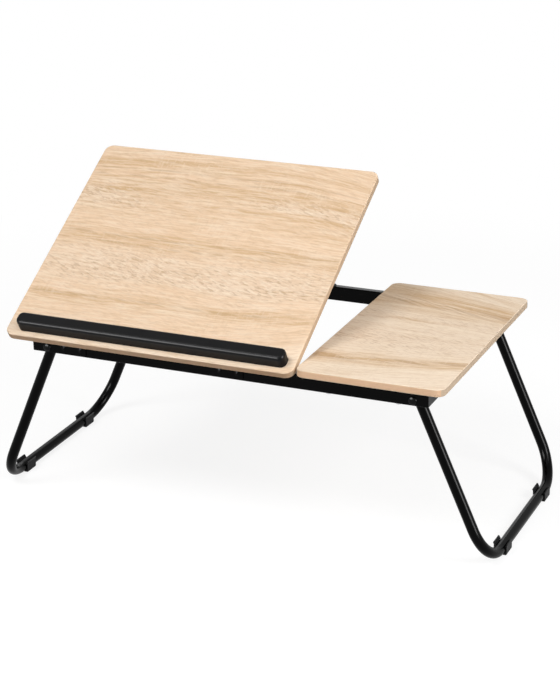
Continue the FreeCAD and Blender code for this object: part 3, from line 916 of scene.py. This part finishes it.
@dataclass(frozen=True)
class RivetPattern:
    """One rivet, sizes in mm, made with a head of radius 1: dome, rolled rim, shank and formed tail."""

    radius: float
    rise: float
    shank: float
    length: float
    tail: float
    tail_rise: float
    roundness: float = 0.86
    dome_reach: float = 0.94
    dome_rings: int = 13
    rim: tuple[Span, ...] = ((0.985, 0.34), (1.0, 0.22), (1.0, 0.12), (0.985, 0.0))
    tail_rings: int = 6
    tail_middle: float = 0.8
    segments: int = 64

    def make(self, name: str) -> Piece:
        """Builds the pattern.

        Args:
            name: the pattern's name.

        Returns:
            The pattern, an object of its own.
        """
        rise = self.rise / self.radius
        shank = self.shank / self.radius
        end = -self.length / self.radius
        tail = self.tail / self.radius
        tail_rise = self.tail_rise / self.radius
        profile = []
        for i in range(self.dome_rings):
            reach = i / self.dome_rings * self.dome_reach
            profile.append((reach, rise * math.sqrt(1 - self.roundness * reach * reach)))
        profile += [(reach, height * rise) for reach, height in self.rim]
        profile += [(shank, 0.0), (shank, end)]
        for i in range(self.tail_rings):
            turn = math.radians(90 * i / self.tail_rings)
            profile.append((tail * math.cos(turn), end - tail_rise * math.sin(turn)))
        profile.append((0.0, end - self.tail_middle * tail_rise))
        mesh = bmesh.new()
        turned(mesh, profile, self.segments)
        return make_piece(name, finished_mesh(name, mesh))


class Jig(Wiring):
    """A Geometry Nodes tree with named inputs, run once on a host mesh and baked to a plain mesh."""

    def __init__(self, name: str, inputs: dict[str, str]) -> None:
        """Starts the tree.

        Args:
            name: the tree's name.
            inputs: name and socket type of each input beside the host mesh.
        """
        super().__init__(bpy.data.node_groups.new(name, "GeometryNodeTree"))
        shape = "NodeSocketGeometry"
        self.tree.interface.new_socket("Host", in_out="INPUT", socket_type=shape)
        self.keys: dict[str, str] = {}
        for label, kind in inputs.items():
            socket = self.tree.interface.new_socket(label, in_out="INPUT", socket_type=kind)
            self.keys[label] = socket.identifier
        self.tree.interface.new_socket("Made", in_out="OUTPUT", socket_type=shape)
        self.inputs = self.node("NodeGroupInput")

    def given(self, label: str) -> Signal:
        """One of the tree's inputs."""
        return self.inputs.other(label)

    def finish_with(self, instances: Signal) -> None:
        """Ends the tree: instances become one mesh with the finish on it.

        Args:
            instances: what the tree has set out.
        """
        real = self.node("GeometryNodeRealizeInstances", sockets={"Geometry": instances})
        sockets = {"Geometry": real, "Material": self.given("Finish")}
        dressed = self.node("GeometryNodeSetMaterial", sockets=sockets)
        self.node("NodeGroupOutput", sockets={"Made": dressed})

    def run(self, name: str, host: Mesh, values: dict[str, object]) -> Piece:
        """Runs the tree and bakes what it makes.

        Args:
            name: the name of the piece it makes.
            host: the mesh that it works on.
            values: what its inputs are set to.

        Returns:
            The piece, a plain mesh at the origin.
        """
        bench = make_piece(name + "_bench", host)
        modifier = bench.modifiers.new("jig", "NODES")
        modifier.node_group = self.tree
        for label, value in values.items():
            modifier[self.keys[label]] = value
        graph = bpy.context.evaluated_depsgraph_get()
        mesh = bpy.data.meshes.new_from_object(bench.evaluated_get(graph))
        bench.modifiers.clear()
        bpy.data.objects.remove(bench)
        return make_piece(name, mesh)


def make_fixing_jig() -> Jig:
    """A jig that sets a pattern screw or rivet at every point of the host, each turned by chance.

    Returns:
        The jig; the host's points carry the way each head faces as the attribute aim.
    """
    jig = Jig(
        "set_fixings",
        {
            "Pattern": "NodeSocketObject",
            "Head Radius": "NodeSocketFloat",
            "Turn Seed": "NodeSocketInt",
            "Finish": "NodeSocketMaterial",
        },
    )
    sockets = {"Object": jig.given("Pattern")}
    pattern = jig.node("GeometryNodeObjectInfo", sockets=sockets, output="Geometry")
    aim = jig.node("GeometryNodeInputNamedAttribute", {"data_type": "FLOAT_VECTOR"}, {"Name": "aim"})
    facing = jig.node("FunctionNodeAlignRotationToVector", {"axis": "Z"}, {"Vector": aim})
    sockets = {"Min_001": 0.0, "Max_001": 2 * math.pi, "Seed": jig.given("Turn Seed")}
    chance = jig.node("FunctionNodeRandomValue", {"data_type": "FLOAT"}, sockets, "Value_001")
    spin = jig.node("FunctionNodeAxisAngleToRotation", sockets={"Axis": (0, 0, 1), "Angle": chance})
    sockets = {"Rotation": facing, "Rotate By": spin}
    turn = jig.node("FunctionNodeRotateRotation", {"rotation_space": "LOCAL"}, sockets)
    size = jig.given("Head Radius")
    sockets = {"Points": jig.given("Host"), "Instance": pattern, "Rotation": turn, "Scale": size}
    jig.finish_with(jig.node("GeometryNodeInstanceOnPoints", sockets=sockets))
    return jig


def make_weld_jig() -> Jig:
    """A jig that lays overlapping weld ripples along every edge of the host.

    Returns:
        The jig.
    """
    jig = Jig(
        "lay_welds",
        {
            "Ripple Pitch": "NodeSocketFloat",
            "Bead Radius": "NodeSocketFloat",
            "Unevenness": "NodeSocketFloat",
            "Ripple Seed": "NodeSocketInt",
            "Finish": "NodeSocketMaterial",
        },
    )
    seam = jig.node("GeometryNodeMeshToCurve", sockets={"Mesh": jig.given("Host")})
    sockets = {"Curve": seam, "Length": jig.given("Ripple Pitch")}
    spots = jig.node("GeometryNodeCurveToPoints", {"mode": "LENGTH"}, sockets)
    ripple = jig.node("GeometryNodeMeshIcoSphere", sockets={"Radius": 1.0, "Subdivisions": 3})
    sockets = {"Geometry": ripple, "Scale": (1.0, 1.0, 0.62)}
    ripple = jig.node("GeometryNodeTransform", sockets=sockets)
    ripple = jig.node("GeometryNodeSetShadeSmooth", sockets={"Geometry": ripple, "Shade Smooth": True})
    least = 1.0 - jig.given("Unevenness")
    sockets = {"Min_001": least, "Max_001": 1.0, "Seed": jig.given("Ripple Seed")}
    chance = jig.node("FunctionNodeRandomValue", {"data_type": "FLOAT"}, sockets, "Value_001")
    size = chance * jig.given("Bead Radius")
    sockets = {"Points": spots, "Instance": ripple, "Rotation": spots.other("Rotation"), "Scale": size}
    jig.finish_with(jig.node("GeometryNodeInstanceOnPoints", sockets=sockets))
    return jig


def points_mesh(name: str, fixings: Sequence[Fixing]) -> Mesh:
    """The host mesh of a fixing jig.

    Args:
        name: the mesh's name.
        fixings: where the heads go.

    Returns:
        A mesh of loose points with the attribute aim.
    """
    mesh = bpy.data.meshes.new(name)
    mesh.from_pydata([f.place for f in fixings], [], [])
    aims = mesh.attributes.new("aim", "FLOAT_VECTOR", "POINT")
    for spot, fixing in zip(aims.data, fixings):
        spot.vector = fixing.aim
    return mesh


def seams_mesh(name: str, seams: Sequence[Seam]) -> Mesh:
    """The host mesh of a weld jig.

    Args:
        name: the mesh's name.
        seams: start and end of each bead.

    Returns:
        A mesh of separate edges.
    """
    mesh = bpy.data.meshes.new(name)
    ends = [end for seam in seams for end in seam]
    mesh.from_pydata(ends, [(2 * i, 2 * i + 1) for i in range(len(seams))], [])
    return mesh


@dataclass(frozen=True)
class Finishes:
    """The materials of the table, ready to use."""

    side_oak: Material
    tilt_oak: Material
    coat: Material
    rivet_coat: Material
    zinc: Material
    bar_plastic: Material
    foot_plastic: Material
    nylon: Material
    rubber: Material


def mix_finishes() -> Finishes:
    """Makes every material once, with the oak's grain laid out on each board.

    Returns:
        The finishes.
    """
    side_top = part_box("side_board")[1].z
    side_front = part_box("side_board")[0].y
    # The tilting board's front edge and top, turned flat about the origin as its finish does.
    laid = Matrix.Rotation(-TILT, 4, "X") @ HINGE
    tilt_front = laid.y + side_front - HINGE.y
    tilt_top = laid.z + FLAT_TOP - HINGE.z
    side_figure = Figure(
        warm_bands=((0.300, 0.080), (0.062, 0.034)),
        dark_streaks=((0.288, 0.026), (0.060, 0.014)),
        grey_zones=((0.215, 0.060), (0.135, 0.055)),
        warmth=0.66,
        streak_depth=0.46,
        slant=0.42,
        gather_from=0.10,
        gather=9.0,
        middle=0.17,
        seed=2.9,
    )
    tilt_figure = Figure(
        warm_bands=((0.290, 0.085), (0.188, 0.024), (0.078, 0.022)),
        dark_streaks=((0.310, 0.003), (0.297, 0.003), (0.190, 0.003), (0.177, 0.003), (0.080, 0.003)),
        grey_zones=((0.260, 0.030), (0.132, 0.052)),
        warmth=0.44,
        streak_depth=0.34,
        slant=0.28,
        gather_from=-0.06,
        gather=6.0,
        middle=0.19,
        seed=0.4,
    )
    return Finishes(
        side_oak=OakFoil(
            "oak_foil_side",
            side_figure,
            turn=0.0,
            front=side_front,
            top=side_top,
            # Paler than the tilting board's ground: partly the foil's own tone, partly painted light
            # that makes up for the sheen and light this board lacks.
            ground=(0.96, 0.80, 0.63),
        ).make(),
        tilt_oak=OakFoil(
            "oak_foil_tilt",
            tilt_figure,
            turn=-TILT,
            front=tilt_front,
            top=tilt_top,
            ground=(0.905, 0.673, 0.474),
            # A paler strip of painted light along the front edge, in front of the stop bar.
            painted_light_strip=(0.006, 0.030),
            # Its front band is darker than the fixed board's: painted shade on the front edge, which
            # faces downward.
            front_band=(0.62, 0.36, 0.205),
        ).make(),
        coat=PowderCoat().make(),
        rivet_coat=PowderCoat(
            "rubbed_rivet_coat", grey(0.001), grey(0.02), roughness=0.22, specular=0.10
        ).make(),
        zinc=PlatedSteel().make(),
        bar_plastic=MouldedPlastic("stop_bar_plastic").make(),
        foot_plastic=MouldedPlastic("foot_plastic", roughness=0.5, grain=1700.0).make(),
        nylon=Nylon().make(),
        rubber=Rubber().make(),
    )


def dress(nodes: Iterable[str], finish: Material) -> None:
    """Gives CAD nodes their finish.

    Args:
        nodes: their names.
        finish: the material.
    """
    for name in nodes:
        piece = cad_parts[name]
        for place in piece.material_slots:
            place.material = finish
        log.info("dressed %s in %s", name, finish.name)


def settle(piece: Piece, body: str, slot: str, *stands_for: str) -> None:
    """Ties a new piece to the frame.

    Args:
        piece: the piece.
        body: the CAD body it rides on.
        slot: the record's material slot that it would take its finish from; not used.
        stands_for: CAD nodes that it is shown in place of.
    """
    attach(piece, body)
    if stands_for:
        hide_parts(*stands_for)
    log.info("made %s on %s, %d faces", piece.name, body, len(piece.data.polygons))


@dataclass
class FixingSet:
    """One set of equal screws or rivets that stands for a CAD node."""

    node: str
    body: str
    aim: Vector
    pattern: Union[ScrewPattern, RivetPattern]
    seed: int
    slot: str = "bright_steel"

    def fixings(self) -> list[Fixing]:
        """Reads from the CAD node where each head sits; a rivet faces away from the table's middle.

        Returns:
            One fixing for each solid.
        """
        found = []
        for points in solids_of(self.node):
            aim = self.aim.copy()
            if isinstance(self.pattern, RivetPattern) and points[0].y < 0:
                aim = -aim
            axis, high = middle_on(points, aim)
            found.append(Fixing(axis + aim * (high - self.pattern.rise * MM), aim))
        return found

    def build(self, jig: Jig, finish: Material) -> None:
        """Makes the piece that stands for the node.

        Args:
            jig: the jig that sets the screws or rivets.
            finish: their material.
        """
        pattern = self.pattern.make(self.node + "_pattern")
        piece = jig.run(
            self.node + "_turned",
            points_mesh(self.node + "_places", self.fixings()),
            {
                "Pattern": pattern,
                "Head Radius": self.pattern.radius * MM,
                "Turn Seed": self.seed,
                "Finish": finish,
            },
        )
        bpy.data.objects.remove(pattern)
        settle(piece, self.body, self.slot, self.node)


@dataclass
class TableFrame:
    """The welded tube frame with the fixed board, hinge rail leaves and leg pivots.

    The insets and the clearance of corner and strap seams are given in bead radii.
    """

    body: str = "table_frame"
    bead_radius: float = 1.5 * MM
    corner_inset: float = 0.35
    corner_clear: float = 1.6
    strap_inset: float = 0.2
    lug_clear: float = 1 * MM
    ripple_pitch: float = 1.15 * MM
    unevenness: float = 0.22
    weld_seed: int = 11
    board_screw: ScrewPattern = ScrewPattern(Head.PAN, radius=4.0, rise=2.5, shank=2.0, length=27.0)
    leg_rivet: RivetPattern = RivetPattern(
        radius=5.5, rise=2.4, shank=3.0, length=26.8, tail=4.5, tail_rise=2.0
    )
    steel: tuple[str, ...] = (
        "front_rail",
        "rear_rail",
        "left_end_bar",
        "right_end_bar",
        "left_cross_strap",
        "right_cross_strap",
        "left_bail_lug",
        "right_bail_lug",
        "left_hinge_rail_leaf",
        "right_hinge_rail_leaf",
        "hinge_rivets",
    )

    def corner_seams(self) -> list[Seam]:
        """The upright seams inside the four mitred corners.

        Returns:
            Start and end of each.
        """
        low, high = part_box("front_rail")
        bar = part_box("right_end_bar")[0].x
        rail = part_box("rear_rail")[0].y
        inset = self.corner_inset * self.bead_radius
        clear = self.corner_clear * self.bead_radius
        seams = []
        for side in (-1, 1):
            for end in (-1, 1):
                x, y = side * (bar - inset), end * (rail - inset)
                seams.append((Vector((x, y, low.z + clear)), Vector((x, y, high.z - clear))))
        return seams

    def strap_seams(self) -> list[Seam]:
        """The seams under both ends of the cross straps.

        Returns:
            Start and end of each.
        """
        inset = self.strap_inset * self.bead_radius
        seams = []
        for name in ("left_cross_strap", "right_cross_strap"):
            low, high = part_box(name)
            for y in (low.y + inset, high.y - inset):
                start = Vector((low.x + self.bead_radius, y, low.z))
                seams.append((start, Vector((high.x - self.bead_radius, y, low.z))))
        return seams

    def lug_seams(self) -> list[Seam]:
        """The seams where the bail's lugs meet the straps, on the side away from the bail.

        Returns:
            Start and end of each.
        """
        seams = []
        for name, outer in (("left_bail_lug", min), ("right_bail_lug", max)):
            low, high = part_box(name)
            x = outer(low.x, high.x)
            start = Vector((x, low.y + self.lug_clear, high.z))
            seams.append((start, Vector((x, high.y - self.lug_clear, high.z))))
        return seams

    def build(self, welds: Jig, fixings: Jig, finishes: Finishes) -> None:
        """Makes the weld beads, the fixed board's screws and the leg rivets.

        Args:
            welds: the jig that lays beads.
            fixings: the jig that sets screws and rivets.
            finishes: the materials.
        """
        seams = self.corner_seams() + self.strap_seams() + self.lug_seams()
        beads = welds.run(
            "frame_weld_beads",
            seams_mesh("frame_seams", seams),
            {
                "Ripple Pitch": self.ripple_pitch,
                "Bead Radius": self.bead_radius,
                "Unevenness": self.unevenness,
                "Ripple Seed": self.weld_seed,
                "Finish": finishes.coat,
            },
        )
        settle(beads, self.body, "black_steel")
        down = Vector((0, 0, -1))
        screws = FixingSet("side_board_screws", self.body, down, self.board_screw, seed=3)
        screws.build(fixings, finishes.zinc)
        back = Vector((0, 1, 0))
        rivets = FixingSet(
            "leg_pivot_rivets", self.body, back, self.leg_rivet, seed=5, slot="black_steel"
        )
        rivets.build(fixings, finishes.rivet_coat)

    def dress(self, finishes: Finishes) -> None:
        """Gives the frame's nodes their finishes.

        Args:
            finishes: the materials.
        """
        dress(self.steel, finishes.coat)
        dress(("side_board",), finishes.side_oak)
        dress(("left_hinge_pin", "right_hinge_pin", "leg_tail_washers"), finishes.zinc)
        dress(("leg_spacers",), finishes.nylon)
        dress(("rest_buffers",), finishes.rubber)


@dataclass
class TiltPanel:
    """The tilting board with its stop bar, hinge leaves and notched racks."""

    body: str = "tilt_panel"
    rack_screw: ScrewPattern = ScrewPattern(Head.PAN, radius=3.0, rise=1.5, shank=1.5, length=9.5)
    hinge_screw: ScrewPattern = ScrewPattern(Head.FLUSH, radius=3.0, rise=0.0, shank=1.5, length=6.5)
    bar_screw: ScrewPattern = ScrewPattern(Head.FLUSH, radius=4.0, rise=0.0, shank=2.0, length=20.0)

    def build(self, fixings: Jig, finishes: Finishes) -> None:
        """Makes the screws under the board.

        Args:
            fixings: the jig that sets screws.
            finishes: the materials.
        """
        down = Matrix.Rotation(TILT, 3, "X") @ Vector((0, 0, -1))
        sets = (
            FixingSet("rack_screws", self.body, down, self.rack_screw, seed=7),
            FixingSet("hinge_screws", self.body, down, self.hinge_screw, seed=8),
            FixingSet("stop_bar_screws", self.body, down, self.bar_screw, seed=9),
        )
        for one in sets:
            one.build(fixings, finishes.zinc)

    def dress(self, finishes: Finishes) -> None:
        """Gives the panel's nodes their finishes.

        Args:
            finishes: the materials.
        """
        dress(("tilt_board",), finishes.tilt_oak)
        dress(("stop_bar",), finishes.bar_plastic)
        dress(("left_notch_rack", "right_notch_rack"), finishes.foot_plastic)
        dress(("left_hinge_board_leaf", "right_hinge_board_leaf"), finishes.coat)


@dataclass
class SupportBail:
    """The wire prop under the tilting board."""

    wire: str = "support_bail"
    nuts: str = "bail_push_nuts"

    def dress(self, finishes: Finishes) -> None:
        """Gives the bail's nodes their finishes."""
        dress((self.wire,), finishes.coat)
        dress((self.nuts,), finishes.zinc)


@dataclass
class FoldingLeg:
    """One U-shaped leg with its two clip-on feet."""

    side: str

    def dress(self, finishes: Finishes) -> None:
        """Gives the leg's nodes their finishes."""
        dress((self.side + "_leg_tube",), finishes.coat)
        dress((self.side + "_front_foot", self.side + "_rear_foot"), finishes.foot_plastic)


@dataclass(frozen=True)
class SoftBox:
    """A studio lamp with a flat white front, aimed at the table; some show only in reflections."""

    name: str
    place: Point
    width: float
    height: float
    watts: float
    target: Point = (0.0, 0.0, 0.14)
    shine_only: bool = False

    def build(self) -> None:
        """Hangs the lamp."""
        lamp = bpy.data.lights.new(self.name, "AREA")
        lamp.shape = "RECTANGLE"
        lamp.size = self.width
        lamp.size_y = self.height
        lamp.energy = self.watts
        holder = make_piece(self.name, lamp)
        holder.visible_camera = False
        holder.visible_diffuse = not self.shine_only
        holder.location = self.place
        away = Vector(self.place) - Vector(self.target)
        holder.rotation_euler = away.to_track_quat("Z", "Y").to_euler()


@dataclass
class Studio:
    """White floor, soft light and the camera at the photograph's viewing angle."""

    floor_radius: float = 3.0
    floor_segments: int = 96
    floor_tone: float = 0.22
    floor_lift: float = 0.85
    floor_bounce: float = 0.50
    floor_wear: float = 0.98
    floor_grain: float = 160.0
    fade_from: float = 0.75
    fade_to: float = 1.35
    ambient: float = 0.26
    camera_place: Point = (1.00961, -2.26371, 1.14529)
    camera_azimuth: float = 23.912
    camera_elevation: float = 21.001
    camera_roll: float = -1.050
    camera_lens: float = 103.151
    camera_sensor: float = 36.0
    camera_clip: Span = (0.05, 60.0)
    lamps: tuple[SoftBox, ...] = (
        SoftBox("key_lamp", (-0.75, -1.25, 2.10), 0.75, 0.75, 20.6),
        SoftBox("wide_lamp", (0.30, -1.25, 2.05), 1.5, 0.7, 8.4),
        SoftBox("fill_lamp", (1.8, -0.6, 1.3), 0.7, 0.9, 22.0),
        SoftBox("right_shine", (2.2, -0.45, 0.62), 0.8, 1.2, 90.0, shine_only=True),
        SoftBox("front_shine", (-1.2, -2.45, 0.80), 1.4, 1.3, 150.0, shine_only=True),
        SoftBox("back_shine", (-1.0, 2.4, 1.35), 1.2, 0.8, 6.0, shine_only=True),
    )

    def seen(self, wiring: Wiring) -> Signal:
        """1 for what the camera sees, also in gloss and through glass, else 0."""
        path = wiring.node("ShaderNodeLightPath", output="Is Camera Ray")
        return path.at_least(path.other("Is Glossy Ray")).at_least(path.other("Is Transmission Ray"))

    def build_floor(self) -> None:
        """Lays the floor, which fades into the white background and can be seen through from below."""
        mesh = bmesh.new()
        sizes = {"radius": self.floor_radius, "segments": self.floor_segments}
        bmesh.ops.create_circle(mesh, cap_ends=True, **sizes)
        floor = make_piece("floor", finished_mesh("floor", mesh))
        r = Recipe("white_floor")
        x, y, _ = r.split(r.place())
        away = x.sum_node("SQRT", x * x + y * y)
        far = away.ramp(self.fade_from, self.fade_to)
        seen = self.seen(r)
        grain = r.noise(r.place(), self.floor_grain, 3.0)
        shade = r.blend(grain, grey(self.floor_tone), grey(self.floor_tone * self.floor_wear))
        shade = r.blend(seen, grey(self.floor_bounce), shade)
        paper = r.node("ShaderNodeBsdfDiffuse", sockets={"Color": shade})
        glow = r.node("ShaderNodeEmission", sockets={"Strength": seen * self.floor_lift})
        lit = r.node("ShaderNodeAddShader", sockets={0: paper, 1: glow})
        white = r.node("ShaderNodeEmission", sockets={"Strength": seen})
        faded = r.node("ShaderNodeMixShader", sockets={0: far * seen, 1: lit, 2: white})
        below = r.node("ShaderNodeNewGeometry", output="Backfacing")
        clear = r.node("ShaderNodeBsdfTransparent")
        whole = r.node("ShaderNodeMixShader", sockets={0: below * seen, 1: faded, 2: clear})
        r.node("ShaderNodeOutputMaterial", sockets={"Surface": whole})
        floor.data.materials.append(r.material)

    def build_world(self) -> None:
        """Makes the even white surroundings."""
        world = bpy.data.worlds.new("white_room")
        world.use_nodes = True
        w = Wiring(world.node_tree)
        level = self.ambient + (1.0 - self.ambient) * self.seen(w)
        room = w.node("ShaderNodeBackground", sockets={"Color": (1, 1, 1, 1), "Strength": level})
        w.node("ShaderNodeOutputWorld", sockets={"Surface": room})
        bpy.context.scene.world = world

    def build_camera(self) -> None:
        """Puts the camera where the photograph was taken from."""
        camera = bpy.data.cameras.new("camera")
        camera.lens = self.camera_lens
        camera.sensor_width = self.camera_sensor
        camera.clip_start, camera.clip_end = self.camera_clip
        turn, lift = math.radians(self.camera_azimuth), math.radians(self.camera_elevation)
        roll = math.radians(self.camera_roll)
        back = Vector(
            (math.sin(turn) * math.cos(lift), -math.cos(turn) * math.cos(lift), math.sin(lift))
        )
        level = Vector((math.cos(turn), math.sin(turn), 0.0))
        upright = back.cross(level)
        right = math.cos(roll) * level + math.sin(roll) * upright
        up = math.cos(roll) * upright - math.sin(roll) * level
        stand = Matrix((right, up, back)).transposed().to_4x4()
        stand.translation = Vector(self.camera_place)
        holder = make_piece("camera", camera)
        holder.matrix_world = stand
        bpy.context.scene.camera = holder

    def build(self) -> None:
        """Sets up the whole studio."""
        bpy.context.scene.view_settings.view_transform = "Standard"
        self.build_floor()
        self.build_world()
        self.build_camera()
        for lamp in self.lamps:
            lamp.build()


def main() -> None:
    """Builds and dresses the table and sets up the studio."""
    logging.basicConfig(level=logging.INFO, format="%(name)s: %(message)s")
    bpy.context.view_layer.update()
    studio = Studio()
    studio.build()
    finishes = mix_finishes()
    fixings = make_fixing_jig()
    welds = make_weld_jig()
    table = TableFrame()
    table.build(welds, fixings, finishes)
    table.dress(finishes)
    panel = TiltPanel()
    panel.build(fixings, finishes)
    panel.dress(finishes)
    SupportBail().dress(finishes)
    for side in ("left", "right"):
        FoldingLeg(side).dress(finishes)
    bpy.context.view_layer.update()


if __name__ == "__main__":
    main()
